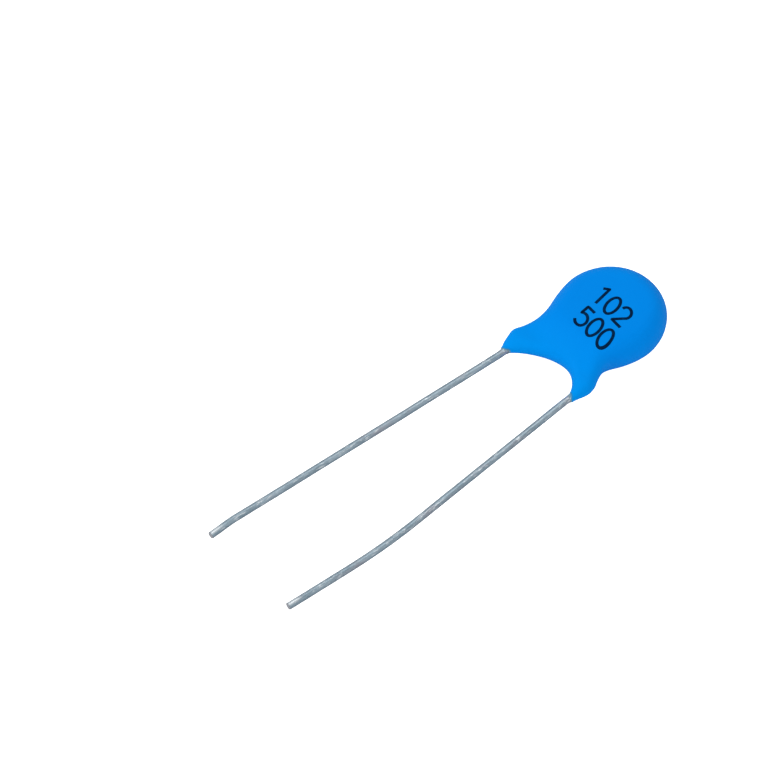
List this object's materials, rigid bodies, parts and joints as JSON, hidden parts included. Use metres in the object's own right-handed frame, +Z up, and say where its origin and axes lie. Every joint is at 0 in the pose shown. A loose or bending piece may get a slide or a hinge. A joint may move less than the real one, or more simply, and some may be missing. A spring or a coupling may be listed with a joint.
{
  "type": "ceramic disc capacitor",
  "caption": "Round dipped disc whose coating flows into two short legs, with a long bent wire lead out of each, lying on its side.",
  "frame": {"origin": "on the table, under the middle of the part's bounding box", "axes": "+Z up off the table and out of the marked face, -Y along the leads, +X towards the right lead"},
  "size_m": [0.0124, 0.0404, 0.0036],
  "materials": {
    "coating": "smooth dipped resin, low satin gloss",
    "ceramic": "fired, matt",
    "silver": "fired silver film, matt",
    "solder": "solder, soft shine",
    "tinned_wire": "tinned, lightly scratched"
  },
  "bodies": {
    "root": {"coating": "coating", "ceramic_disc": "ceramic", "front_electrode": "silver", "back_electrode": "silver", "front_solder": "solder", "back_solder": "solder", "left_lead": "tinned_wire", "right_lead": "tinned_wire"}
  },
  "joints": []
}
